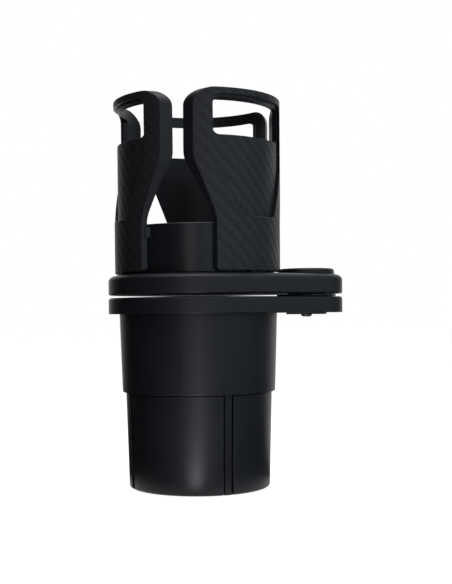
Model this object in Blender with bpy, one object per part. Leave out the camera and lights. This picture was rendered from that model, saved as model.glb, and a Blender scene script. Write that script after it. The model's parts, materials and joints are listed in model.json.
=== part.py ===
"""Two-tier car cup holder: a stepped base cup with four expanding grip jaws, and above it a
swivelling plate that carries a shallow inner cup and three sliding petals.

Metres, +Z up. The origin is under the middle of the plan, in the plane the base stands on. The
ear with the swivel points along +X, and the photographed front faces -Y. Each piece is drawn
about the cups' common axis and then set on it.
"""

import math

import bmesh
import bpy

MM = 0.001
TAU = 2 * math.pi

# Clearances
seat_gap = 0.3 * MM  # between pieces that touch
running_gap = 0.3 * MM  # round a pin or a shaft

# Base cup
cup_top_radius = 37.5 * MM  # outside, under the flange
cup_step_radius = 36.1 * MM  # outside, just above the step
cup_wall = 2.0 * MM
cup_body_height = 36.6 * MM  # from the step to the flange
floor_thickness = 2.0 * MM
shelf_thickness = 2.0 * MM
mouth_chamfer = 0.8 * MM

# Grip jaws
jaw_count = 4
jaw_height = 44.6 * MM
jaw_top_radius = 34.5 * MM
jaw_flare = 1.3 * MM  # how much wider a jaw is at its top
jaw_wall = 2.6 * MM
jaw_back_gap = 0.5 * MM  # between a jaw and the core behind it
jaw_lift = 0.4 * MM  # the jaws hang just clear of the floor
jaw_round = 1.6 * MM  # rounding of the bottom edge
jaw_travel = 5.0 * MM
strip_width = 8.1  # degrees of the strip between two jaws
strip_first = -67.0  # degrees from +X to the first strip
rib_slack = 0.7  # degrees free on each side of a rib
rib_recess = 0.8 * MM  # how far a rib lies under the jaws' outer face
core_wall = 1.8 * MM
foot_width = 10.0 * MM
foot_thickness = 2.2 * MM
foot_reach = 3.0 * MM  # from the pin's centre to the foot's inner end
jaw_pin_radius = 1.8 * MM

# Jaw scroll and base cover
cover_thickness = 2.0 * MM
base_scroll_thickness = 2.0 * MM
base_scroll_turn = 60.0  # degrees from closed to open
scroll_land = 1.8 * MM  # material outside a slot's end
dial_radius = 12.0 * MM
dial_recess = 0.5 * MM  # how far the dial lies above the floor
dial_bar_width = 4.5 * MM
dial_pocket_depth = 1.2 * MM
dial_rim = 1.6 * MM

# Screws
screw_radius = 1.1 * MM
screw_head_radius = 2.0 * MM
screw_head_height = 1.0 * MM
screw_length = 5.0 * MM
boss_wall = 1.2 * MM
boss_overlap = 0.5 * MM  # how far the base's bosses run into the core's wall
boss_clearance = 0.8 * MM  # between the plate's bosses and its side wall

# Both plates
flange_radius = 42.4 * MM
ear_radius = 17.0 * MM
pivot_offset = 51.4 * MM
flange_thickness = 7.5 * MM
flange_skin = 2.4 * MM
flange_edge = 0.6 * MM
plate_gap = 1.4 * MM
plate_height = 9.2 * MM
plate_skin = 2.2 * MM
shoulder_width = 4.2 * MM
shoulder_height = 2.7 * MM
plate_cover_thickness = 1.8 * MM

# Swivel
spindle_radius = 5.0 * MM
spindle_boss_wall = 4.0 * MM
ear_boss_radius = 9.6 * MM
ear_boss_drop = 0.8 * MM
hub_cap_radius = 13.2 * MM
hub_cap_edge = 2.1 * MM  # height of its upright edge
hub_cap_round = 1.2 * MM  # rounding above the edge
hub_cap_dome = 0.4 * MM  # rise from there to the middle
hub_cap_sink = 1.0 * MM  # depth of the seat in the upper ear
glide_radius = 14.0 * MM
pivot_screw_radius = 1.6 * MM
pivot_screw_length = 12.0 * MM
pivot_head_radius = 2.6 * MM
pivot_head_height = 1.9 * MM
pivot_head_sunk = 1.0 * MM

# Petal scroll
petal_scroll_thickness = 2.0 * MM
petal_scroll_turn = 70.0  # degrees from closed to open
petal_travel = 8.0 * MM
petal_pin_radius = 1.8 * MM
keeper_lap = 1.3 * MM  # how far a keeper reaches past its slot
keeper_thickness = 1.2 * MM
hub_screw_place = 7.0 * MM

# Inner cup
inner_cup_radius = 36.2 * MM
inner_cup_wall = 1.8 * MM
inner_cup_height = 21.9 * MM
inner_cup_floor = 2.0 * MM
inner_cup_ledge = 1.0 * MM  # how far the cup's foot reaches past the plate's hub

# Petals
petal_count = 3
petal_first = -43.4  # degrees from +X to the front right petal
petal_lift = 0.8 * MM  # gap under the band
petal_height = 80.8 * MM
petal_bottom_radius = 39.2 * MM
petal_top_radius = 39.4 * MM
petal_band_wall = 2.2 * MM
petal_wall = 3.6 * MM
band_half_width = 21.8 * MM
crown_half_width = 29.8 * MM
flare_start = 23.7 * MM  # height of the flare's foot above the petal's bottom
flare_end = 49.7 * MM
flare_round = 24.0 * MM
crown_round = 7.6 * MM
foot_round = 1.6 * MM
window_half_width = 22.0 * MM
window_bottom = 60.1 * MM
window_top = 76.5 * MM
window_round = 3.0 * MM
window_border = 1.2 * MM  # width of the sunk border round the window
panel_recess = 1.7 * MM
panel_bottom = 24.6 * MM
panel_bottom_half_width = 11.5 * MM
panel_round = 9.0 * MM
panel_corner = 2.0 * MM
arm_width = 11.0 * MM
arm_thickness = 1.5 * MM
arm_reach = 2.6 * MM  # from the pin's centre to the arm's inner end
lug_place = 15.2 * MM  # height of the guide lug above the petal's bottom
lug_height = 4.6 * MM
lug_width = 1.2 * MM  # how far the lug stands off the petal's side face
lug_reach = 1.0 * MM  # how far it reaches in from the petal's inner face

# Facets
turn_steps = 48
small_steps = 12

# Heights, from the floor up
cover_top = cover_thickness
base_scroll_bottom = cover_top + seat_gap
base_scroll_top = base_scroll_bottom + base_scroll_thickness
foot_bottom = base_scroll_top + seat_gap
foot_top = foot_bottom + foot_thickness
floor_bottom = foot_top + seat_gap
floor_top = floor_bottom + floor_thickness
step_height = jaw_lift + jaw_height + seat_gap
shelf_top = step_height + shelf_thickness
flange_bottom = step_height + cup_body_height
flange_top = flange_bottom + flange_thickness
plate_bottom = flange_top + plate_gap
plate_top = plate_bottom + plate_height
plate_skin_bottom = plate_top - plate_skin
plate_cover_bottom = plate_bottom + seat_gap
plate_cover_top = plate_cover_bottom + plate_cover_thickness
petal_scroll_bottom = plate_cover_top + seat_gap
petal_scroll_top = petal_scroll_bottom + petal_scroll_thickness
arm_bottom = plate_top + seat_gap
arm_top = arm_bottom + arm_thickness
inner_floor_bottom = arm_top + seat_gap
inner_floor_top = inner_floor_bottom + inner_cup_floor
inner_cup_bottom = plate_top + seat_gap
inner_cup_top = inner_cup_bottom + inner_cup_height
petal_bottom = plate_top + petal_lift
petal_top = petal_bottom + petal_height

# Places that follow
cup_axis = (flange_radius - pivot_offset - ear_radius) / 2  # X of the cups' axis
jaw_bottom_radius = jaw_top_radius - jaw_flare
core_radius = jaw_bottom_radius - jaw_wall - jaw_back_gap
core_bore = core_radius - core_wall
base_cover_radius = core_radius - seat_gap
boss_radius = screw_radius + running_gap + boss_wall
base_boss_place = core_bore + boss_overlap - boss_radius
base_scroll_radius = base_boss_place - boss_radius - seat_gap
jaw_pin_place = base_scroll_radius - scroll_land - running_gap - jaw_pin_radius - jaw_travel
plate_boss_place = flange_radius - plate_skin - boss_clearance - boss_radius
petal_scroll_radius = plate_boss_place - boss_radius - seat_gap
petal_pin_place = petal_scroll_radius - scroll_land - running_gap - petal_pin_radius - petal_travel
keeper_radius = petal_pin_radius + running_gap + keeper_lap
hub_radius = hub_screw_place + screw_head_radius + running_gap + boss_wall
inner_cup_foot_radius = hub_radius + inner_cup_ledge

JAW_ANGLES = [
    math.radians(strip_first + 180 / jaw_count + 360 / jaw_count * i) for i in range(jaw_count)
]
STRIP_ANGLES = [math.radians(strip_first + 360 / jaw_count * i) for i in range(jaw_count)]
PETAL_ANGLES = [math.radians(petal_first + 360 / petal_count * i) for i in range(petal_count)]
PLATE_SCREW_ANGLES = [angle + math.pi / petal_count for angle in PETAL_ANGLES]


# Shape helpers


def mesh_of(bm, name="shape"):
    """Turns a bmesh into a mesh with its faces pointing out."""
    bmesh.ops.recalc_face_normals(bm, faces=bm.faces)
    mesh = bpy.data.meshes.new(name)
    bm.to_mesh(mesh)
    bm.free()
    return mesh


def circle(radius, steps=small_steps, x=0.0, y=0.0):
    return [
        (x + radius * math.cos(TAU * i / steps), y + radius * math.sin(TAU * i / steps))
        for i in range(steps)
    ]


def loft(loops):
    """Closed solid through equal loops of points, each loop above the one before."""
    bm = bmesh.new()
    rings = [[bm.verts.new(point) for point in loop] for loop in loops]
    count = len(rings[0])
    for low, high in zip(rings, rings[1:]):
        for i in range(count):
            j = (i + 1) % count
            bm.faces.new((low[i], low[j], high[j], high[i]))
    bm.faces.new(list(reversed(rings[0])))
    bm.faces.new(rings[-1])
    return mesh_of(bm)


def prism(outline, low, high):
    """The plan outline drawn up from one height to another."""
    return loft([[(x, y, z) for x, y in outline] for z in (low, high)])


def cylinder(radius, low, high, x=0.0, y=0.0, steps=small_steps):
    return prism(circle(radius, steps, x, y), low, high)


def block(x, y, z):
    """A box between the ends of each pair."""
    return prism([(x[0], y[0]), (x[1], y[0]), (x[1], y[1]), (x[0], y[1])], *z)


def lathe(profile, steps=turn_steps, start=0.0, sweep=TAU):
    """The closed outline of (radius, height) turned about Z. A part turn gets flat ends."""
    bm = bmesh.new()
    whole = sweep > TAU - 1e-6
    poles = {k: bm.verts.new((0, 0, z)) for k, (r, z) in enumerate(profile) if r < 1e-9}
    rings = []
    for i in range(steps if whole else steps + 1):
        angle = start + sweep * i / steps
        rings.append(
            [
                poles[k] if k in poles else bm.verts.new((r * math.cos(angle), r * math.sin(angle), z))
                for k, (r, z) in enumerate(profile)
            ]
        )
    for i in range(steps):
        here, after = rings[i], rings[(i + 1) % len(rings)]
        for k in range(len(profile)):
            n = (k + 1) % len(profile)
            corners = list(dict.fromkeys((here[k], after[k], after[n], here[n])))
            if len(corners) > 2:
                bm.faces.new(corners)
    if not whole:
        bm.faces.new(rings[0])
        bm.faces.new(rings[-1])
    return mesh_of(bm)


def combined(mesh, operation, others):
    """The mesh joined with, cut by or kept inside each of the others, in turn."""
    body = bpy.data.objects.new("body", mesh)
    tools = [bpy.data.objects.new("tool", other) for other in others]
    for obj in [body, *tools]:
        bpy.context.scene.collection.objects.link(obj)
    for tool in tools:
        modifier = body.modifiers.new("boolean", "BOOLEAN")
        modifier.operation = operation
        modifier.solver = "EXACT"
        modifier.object = tool
    graph = bpy.context.evaluated_depsgraph_get()
    result = bpy.data.meshes.new_from_object(body.evaluated_get(graph))
    for obj in [body, *tools]:
        bpy.data.objects.remove(obj)
    return result


def union(mesh, *others):
    return combined(mesh, "UNION", others)


def cut(mesh, *others):
    return combined(mesh, "DIFFERENCE", others)


def common(mesh, *others):
    return combined(mesh, "INTERSECT", others)


def turned(mesh, angle):
    """A copy of the mesh, turned about Z."""
    copy = mesh.copy()
    cos, sin = math.cos(angle), math.sin(angle)
    for vertex in copy.vertices:
        x, y, z = vertex.co
        vertex.co = (x * cos - y * sin, x * sin + y * cos, z)
    return copy


def rounded(corners, steps=5):
    """A closed outline whose corners (a, b, radius) are rounded by arcs of that radius."""
    outline = []
    count = len(corners)
    for i, (a, b, radius) in enumerate(corners):
        before, after = corners[i - 1], corners[(i + 1) % count]
        back = (before[0] - a, before[1] - b)
        ahead = (after[0] - a, after[1] - b)
        back_length, ahead_length = math.hypot(*back), math.hypot(*ahead)
        back = (back[0] / back_length, back[1] / back_length)
        ahead = (ahead[0] / ahead_length, ahead[1] / ahead_length)
        half = math.acos(max(-1.0, min(1.0, back[0] * ahead[0] + back[1] * ahead[1]))) / 2
        reach = min(radius / math.tan(half), 0.49 * back_length, 0.49 * ahead_length)
        radius = reach * math.tan(half)
        middle = (back[0] + ahead[0], back[1] + ahead[1])
        length = math.hypot(*middle)
        away = radius / math.sin(half) / length
        centre = (a + middle[0] * away, b + middle[1] * away)
        start = math.atan2(b + back[1] * reach - centre[1], a + back[0] * reach - centre[0])
        end = math.atan2(b + ahead[1] * reach - centre[1], a + ahead[0] * reach - centre[0])
        sweep = (end - start + math.pi) % TAU - math.pi
        for k in range(steps + 1):
            angle = start + sweep * k / steps
            outline.append((centre[0] + radius * math.cos(angle), centre[1] + radius * math.sin(angle)))
    return outline


def drawn(outline, near, far):
    """The outline of (Y, Z) points drawn along X, as a mould is drawn off a petal."""
    return loft([[(x, y, z) for y, z in outline] for x in (near, far)])


def spiral_slot(place, travel, turn, half_width, low, high):
    """The track of a pin that moves out by travel while the disc turns by turn, in the disc."""
    steps = 8
    path = []
    for i in range(steps + 1):
        share = i / steps
        radius, angle = place + travel * share, -turn * share
        path.append((radius * math.cos(angle), radius * math.sin(angle)))
    left, right = [], []
    for i, (x, y) in enumerate(path):
        ahead, back = path[min(i + 1, steps)], path[max(i - 1, 0)]
        along = math.atan2(ahead[1] - back[1], ahead[0] - back[0])
        left.append((x - half_width * math.sin(along), y + half_width * math.cos(along)))
        right.append((x + half_width * math.sin(along), y - half_width * math.cos(along)))

    def end_cap(centre, first):
        start = math.atan2(first[1] - centre[1], first[0] - centre[0])
        return [
            (centre[0] + half_width * math.cos(start - math.pi * k / 6),
             centre[1] + half_width * math.sin(start - math.pi * k / 6))
            for k in range(1, 6)
        ]

    outline = left + end_cap(path[-1], left[-1]) + right[::-1] + end_cap(path[0], right[0])
    return prism(outline, low, high)


def plate_outline(inset=0.0):
    """Plan of both plates: the cup's circle and the ear's, joined by their common tangents."""
    lean = math.acos((flange_radius - ear_radius) / pivot_offset)
    big_steps, ear_steps = 36, 12
    points = []
    for i in range(big_steps + 1):
        angle = lean + (TAU - 2 * lean) * i / big_steps
        points.append(((flange_radius - inset) * math.cos(angle), (flange_radius - inset) * math.sin(angle)))
    for i in range(ear_steps + 1):
        angle = -lean + 2 * lean * i / ear_steps
        points.append(
            (pivot_offset + (ear_radius - inset) * math.cos(angle), (ear_radius - inset) * math.sin(angle))
        )
    return points


def plate_solid(levels):
    """Solid through the plan outline, inset by the first of each (inset, height) pair."""
    return loft([[(x, y, z) for x, y in plate_outline(inset)] for inset, z in levels])


def at(radius, angle):
    return {"x": radius * math.cos(angle), "y": radius * math.sin(angle)}


# Materials and objects


def material(name, colour, roughness, metallic=0.0):
    made = bpy.data.materials.new(name)
    made.use_nodes = True
    shader = made.node_tree.nodes["Principled BSDF"]
    shader.inputs["Base Color"].default_value = (*colour, 1.0)
    shader.inputs["Roughness"].default_value = roughness
    shader.inputs["Metallic"].default_value = metallic
    return made


def empty(name, location=(0, 0, 0), parent=None):
    obj = bpy.data.objects.new(name, None)
    bpy.context.scene.collection.objects.link(obj)
    obj.location = location
    obj.parent = parent
    return obj


def piece(name, mesh, finish, parent, angle=0.0):
    """One node: its mesh is drawn about the cup's axis and turned about it by the angle."""
    obj = bpy.data.objects.new(name, mesh)
    bpy.context.scene.collection.objects.link(obj)
    mesh.materials.clear()
    mesh.materials.append(finish)
    mesh.shade_smooth()
    mesh.set_sharp_from_angle(angle=math.radians(32))
    obj.parent = parent
    obj.location = (cup_axis - parent.location.x, 0, 0)
    obj.rotation_euler.z = angle
    return obj


# Base cup


def base_shell():
    """Flange, stepped cup, ribs between the jaws, scroll bay and swivel boss, moulded as one."""
    outside = lathe(
        [
            (0, cover_top + seat_gap),
            (core_radius, cover_top + seat_gap),
            (core_radius, step_height),
            (cup_step_radius, step_height),
            (cup_top_radius, flange_bottom + flange_thickness / 2),
            (0, flange_bottom + flange_thickness / 2),
        ]
    )
    flange = plate_solid(
        [
            (flange_edge, flange_bottom),
            (0, flange_bottom + flange_edge),
            (0, flange_top - flange_edge),
            (flange_edge, flange_top),
        ]
    )
    mouth_radius = cup_top_radius - cup_wall
    cavity = lathe(
        [
            (0, floor_top),
            (core_bore, floor_top),
            (core_bore, shelf_top),
            (cup_step_radius - cup_wall, shelf_top),
            (mouth_radius, flange_bottom),
            (mouth_radius, flange_top - mouth_chamfer),
            (mouth_radius + 2 * mouth_chamfer, flange_top + mouth_chamfer),
            (0, flange_top + mouth_chamfer),
        ]
    )
    skin_bottom = flange_top - flange_skin
    pocket = cut(
        prism(plate_outline(flange_skin), flange_bottom - ear_boss_drop, skin_bottom),
        cylinder(cup_top_radius + seat_gap, 0, 2 * flange_top, steps=turn_steps),
    )
    bosses = [
        cylinder(boss_radius, -cover_top, 2 * floor_top, **at(base_boss_place, angle))
        for angle in STRIP_ANGLES
    ]
    bay = cut(cylinder(core_bore, 0, floor_bottom, steps=turn_steps), *bosses)

    slack = math.radians(strip_width / 2 - rib_slack)
    rib = lathe(
        [
            (core_radius, jaw_lift),
            (jaw_bottom_radius - rib_recess, jaw_lift),
            (jaw_top_radius - rib_recess, step_height + shelf_thickness / 2),
            (core_radius - core_wall / 2, step_height + shelf_thickness / 2),
            (core_radius - core_wall / 2, cover_top + 2 * seat_gap),
            (core_radius, cover_top),
        ],
        steps=2,
        start=-slack,
        sweep=2 * slack,
    )
    ear_boss = cylinder(ear_boss_radius, flange_bottom - ear_boss_drop, flange_top - flange_skin / 2,
                        x=pivot_offset, steps=28)
    outside = union(outside, flange, *[turned(rib, angle) for angle in STRIP_ANGLES])
    shell = union(cut(outside, cavity, pocket, bay), ear_boss)

    foot_window = block(
        (core_bore - core_wall, core_radius + core_wall),
        (-foot_width / 2 - running_gap, foot_width / 2 + running_gap),
        (foot_bottom - seat_gap, foot_top + seat_gap),
    )
    screw_holes = [
        cylinder(screw_radius + running_gap, 0, floor_bottom, steps=8, **at(base_boss_place, angle))
        for angle in STRIP_ANGLES
    ]
    spindle_bore = cylinder(
        spindle_radius + running_gap, flange_bottom + 2 * pivot_head_sunk, 2 * flange_top, x=pivot_offset
    )
    pivot_hole = cylinder(pivot_screw_radius + running_gap, 0, flange_top, x=pivot_offset)
    pivot_sink = cylinder(
        pivot_head_radius + running_gap, 0, flange_bottom - ear_boss_drop + pivot_head_sunk, x=pivot_offset
    )
    return cut(
        shell,
        *[turned(foot_window, angle) for angle in JAW_ANGLES],
        *screw_holes,
        spindle_bore,
        pivot_hole,
        pivot_sink,
    )


def grip_jaw():
    """One quarter of the gripping sleeve, with its foot and scroll pin, centred on +X."""
    half = math.radians(180 / jaw_count - strip_width / 2)
    low, high = jaw_lift, jaw_lift + jaw_height
    inner_top = jaw_bottom_radius - jaw_wall
    profile = [(inner_top, low)]
    for i in range(5):
        angle = math.pi / 2 * i / 4
        profile.append(
            (
                jaw_bottom_radius - jaw_round + jaw_round * math.sin(angle),
                low + jaw_round - jaw_round * math.cos(angle),
            )
        )
    profile += [(jaw_top_radius, high), (inner_top, high)]
    wall = lathe(profile, steps=12, start=-half, sweep=2 * half)
    foot = block(
        (jaw_pin_place - foot_reach, inner_top + jaw_wall / 2),
        (-foot_width / 2, foot_width / 2),
        (foot_bottom, foot_top),
    )
    pin = cylinder(jaw_pin_radius, base_scroll_bottom, foot_bottom + foot_thickness / 2, x=jaw_pin_place)
    return union(wall, foot, pin)


def jaw_scroll():
    """Disc with a spiral track for each jaw's pin, and the dial that turns it from below."""
    disc = cylinder(base_scroll_radius, base_scroll_bottom, base_scroll_top, steps=turn_steps)
    dial = cylinder(dial_radius, dial_recess, base_scroll_bottom + base_scroll_thickness / 2, steps=30)
    scroll = union(disc, dial)
    track = spiral_slot(
        jaw_pin_place,
        jaw_travel,
        math.radians(base_scroll_turn),
        jaw_pin_radius + running_gap,
        base_scroll_bottom - seat_gap,
        2 * base_scroll_top,
    )
    finger_well = cylinder(dial_radius - dial_rim, 0, dial_recess + dial_pocket_depth, steps=28)
    bar = block(
        (-dial_radius, dial_radius), (-dial_bar_width / 2, dial_bar_width / 2), (-dial_recess, base_scroll_top)
    )
    return cut(scroll, *[turned(track, angle) for angle in JAW_ANGLES], cut(finger_well, bar))


def base_cover():
    """Bottom cover: it holds the scroll in its bay, and its lower face is what the base stands on."""
    disc = lathe(
        [
            (0, 0),
            (base_cover_radius - flange_edge, 0),
            (base_cover_radius, flange_edge),
            (base_cover_radius, cover_top),
            (0, cover_top),
        ]
    )
    holes = [cylinder(dial_radius + running_gap, -cover_top, 2 * cover_top, steps=30)]
    for angle in STRIP_ANGLES:
        holes += screw_sink(base_boss_place, angle, 0, cover_top)
    return cut(disc, *holes)


def screw_sink(place, angle, face, top):
    """Cutters for a flush screw driven up into a cover whose lower face is given."""
    drop = screw_head_height
    return [
        cylinder(screw_head_radius + running_gap, face - drop, face + screw_head_height + seat_gap / 2,
                 **at(place, angle)),
        cylinder(screw_radius + running_gap, face - drop, top + drop, steps=8, **at(place, angle)),
    ]


def cover_screw(place, face, length=screw_length):
    """Pan-head screw, its head's lower face just inside the cover's."""
    head_low = face + seat_gap / 2
    screw = lathe(
        [
            (0, head_low),
            (screw_head_radius * 0.7, head_low),
            (screw_head_radius, head_low + screw_head_height * 0.4),
            (screw_head_radius, head_low + screw_head_height - seat_gap / 2),
            (screw_radius, head_low + screw_head_height - seat_gap / 2),
            (screw_radius, head_low + length - screw_radius),
            (0, head_low + length),
        ],
        steps=10,
    )
    return moved(screw, place)


def moved(mesh, x):
    """The same mesh, shifted along X."""
    for vertex in mesh.vertices:
        vertex.co.x += x
    return mesh


# Swivel


def hub_cap():
    """Low cap and spindle in one: the upper plate turns on the spindle, which the screw holds."""
    low = plate_top - hub_cap_sink + seat_gap
    spindle_low = flange_bottom + 2 * pivot_head_sunk + seat_gap
    profile = [(0, spindle_low), (spindle_radius, spindle_low), (spindle_radius, low), (hub_cap_radius, low)]
    arc_steps = 4
    for i in range(arc_steps + 1):
        angle = math.pi / 2 * i / arc_steps
        profile.append(
            (
                hub_cap_radius - hub_cap_round * (1 - math.cos(angle)),
                low + hub_cap_edge + hub_cap_round * math.sin(angle),
            )
        )
    profile.append((0, low + hub_cap_edge + hub_cap_round + hub_cap_dome))
    cap = lathe(profile, steps=32)
    thread = cylinder(
        pivot_screw_radius + running_gap, 0, spindle_low + pivot_screw_length, steps=16
    )
    return moved(cut(cap, thread), pivot_offset)


def pivot_screw():
    """Screw that draws the spindle into the base's ear. Its head shows under the boss."""
    head_top = flange_bottom - ear_boss_drop + pivot_head_sunk - seat_gap
    head_low = head_top - pivot_head_height
    tip = head_top + pivot_screw_length
    screw = lathe(
        [
            (0, head_low),
            (pivot_head_radius * 0.75, head_low),
            (pivot_head_radius, head_low + pivot_head_height * 0.4),
            (pivot_head_radius, head_top),
            (pivot_screw_radius, head_top),
            (pivot_screw_radius, tip - pivot_screw_radius),
            (0, tip),
        ],
        steps=16,
    )
    return moved(screw, pivot_offset)


def glide_washer():
    """Flat ring between the two ears, on which the upper plate slides."""
    low, high = flange_top + seat_gap, plate_bottom - seat_gap
    inner = spindle_radius + running_gap
    ring = lathe([(inner, low), (glide_radius, low), (glide_radius, high), (inner, high)], steps=28)
    return moved(ring, pivot_offset)


# Upper plate


def upper_plate():
    """Plate with the rolled shoulder, hollow below, with a slot for each petal's pin."""
    levels = [(flange_edge, plate_bottom), (0, plate_bottom + flange_edge)]
    for i in range(5):
        angle = math.pi / 2 * i / 4
        levels.append(
            (
                shoulder_width * (1 - math.cos(angle)),
                plate_top - shoulder_height * (1 - math.sin(angle)),
            )
        )
    outside = plate_solid(levels)
    hollow = prism(plate_outline(plate_skin), 0, plate_skin_bottom)
    joined = plate_top - plate_skin / 2
    hub = cylinder(hub_radius, plate_cover_top + seat_gap, joined, steps=30)
    ear_boss = cylinder(
        spindle_radius + spindle_boss_wall, plate_bottom, joined, x=pivot_offset, steps=28
    )
    bosses = [
        cylinder(boss_radius, plate_cover_top + seat_gap, joined, **at(plate_boss_place, angle))
        for angle in PLATE_SCREW_ANGLES
    ]
    plate = union(cut(outside, hollow), hub, ear_boss, *bosses)

    slot_half = petal_pin_radius + running_gap
    slot = union(
        block(
            (petal_pin_place, petal_pin_place + petal_travel),
            (-slot_half, slot_half),
            (plate_skin_bottom - plate_skin, plate_top + plate_skin),
        ),
        cylinder(slot_half, plate_skin_bottom - plate_skin / 2, plate_top + plate_skin / 2, x=petal_pin_place),
        cylinder(slot_half, plate_skin_bottom - plate_skin / 2, plate_top + plate_skin / 2,
                 x=petal_pin_place + petal_travel),
    )
    screw_holes = [
        cylinder(screw_radius + running_gap, 0, plate_skin_bottom, steps=8, **at(plate_boss_place, angle))
        for angle in PLATE_SCREW_ANGLES
    ]
    head_seat = plate_skin_bottom
    for angle in PETAL_ANGLES:
        screw_holes.append(
            cylinder(screw_head_radius + running_gap, 0, head_seat, **at(hub_screw_place, angle))
        )
        screw_holes.append(
            cylinder(screw_radius + running_gap, 0, 2 * plate_top, steps=8, **at(hub_screw_place, angle))
        )
    spindle_bore = cylinder(spindle_radius + running_gap, 0, 2 * plate_top, x=pivot_offset)
    cap_seat = cylinder(
        hub_cap_radius + running_gap, plate_top - hub_cap_sink, 2 * plate_top, x=pivot_offset, steps=32
    )
    return cut(
        plate, *[turned(slot, angle) for angle in PETAL_ANGLES], *screw_holes, spindle_bore, cap_seat
    )


def plate_cover():
    """Flat cover that closes the upper plate from below and carries the petal scroll."""
    cover = prism(plate_outline(plate_skin + seat_gap), plate_cover_bottom, plate_cover_top)
    holes = [
        cylinder(spindle_radius + spindle_boss_wall + seat_gap, 0, plate_top, x=pivot_offset, steps=28)
    ]
    for angle in PLATE_SCREW_ANGLES:
        holes += screw_sink(plate_boss_place, angle, plate_cover_bottom, plate_cover_top)
    return cut(cover, *holes)


def petal_scroll():
    """Ring that turns on the plate's hub and moves all petals together by its spiral tracks."""
    bore = hub_radius + running_gap
    ring = lathe(
        [
            (bore, petal_scroll_bottom),
            (petal_scroll_radius, petal_scroll_bottom),
            (petal_scroll_radius, petal_scroll_top),
            (bore, petal_scroll_top),
        ]
    )
    track = spiral_slot(
        petal_pin_place,
        petal_travel,
        math.radians(petal_scroll_turn),
        petal_pin_radius + running_gap,
        petal_scroll_bottom - petal_scroll_thickness,
        petal_scroll_top + petal_scroll_thickness,
    )
    return cut(ring, *[turned(track, angle) for angle in PETAL_ANGLES])


def petal_keeper():
    """Ring on a petal's pin, under the plate's skin, that keeps the petal from lifting."""
    high = plate_skin_bottom - seat_gap
    low = high - keeper_thickness
    inner = petal_pin_radius + running_gap
    ring = lathe([(inner, low), (keeper_radius, low), (keeper_radius, high), (inner, high)], steps=small_steps)
    return moved(ring, petal_pin_place)


def inner_cup():
    """Shallow cup on the upper plate, notched where the petals' arms run under its floor."""
    bore = inner_cup_radius - inner_cup_wall
    lip = inner_cup_wall / 3
    cup = lathe(
        [
            (0, inner_cup_bottom),
            (inner_cup_foot_radius, inner_cup_bottom),
            (inner_cup_foot_radius, inner_floor_bottom),
            (bore, inner_floor_bottom),
            (bore, inner_cup_bottom),
            (inner_cup_radius, inner_cup_bottom),
            (inner_cup_radius, inner_cup_top - lip),
            (inner_cup_radius - lip, inner_cup_top),
            (bore + lip, inner_cup_top),
            (bore, inner_cup_top - lip),
            (bore, inner_floor_top),
            (0, inner_floor_top),
        ]
    )
    arm_notch = block(
        (inner_cup_foot_radius + inner_cup_wall, inner_cup_radius + inner_cup_wall),
        (-arm_width / 2 - running_gap, arm_width / 2 + running_gap),
        (0, inner_floor_bottom),
    )
    screw_holes = [
        cylinder(screw_radius + running_gap, 0, inner_floor_top - inner_cup_floor / 2, steps=12,
                 **at(hub_screw_place, angle))
        for angle in PETAL_ANGLES
    ]
    return cut(cup, *[turned(arm_notch, angle) for angle in PETAL_ANGLES], *screw_holes)


# Petals


def mirrored(half):
    """A closed outline from its right half, listed from the bottom up."""
    return half + [(-a, b, radius) for a, b, radius in reversed(half)]


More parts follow.
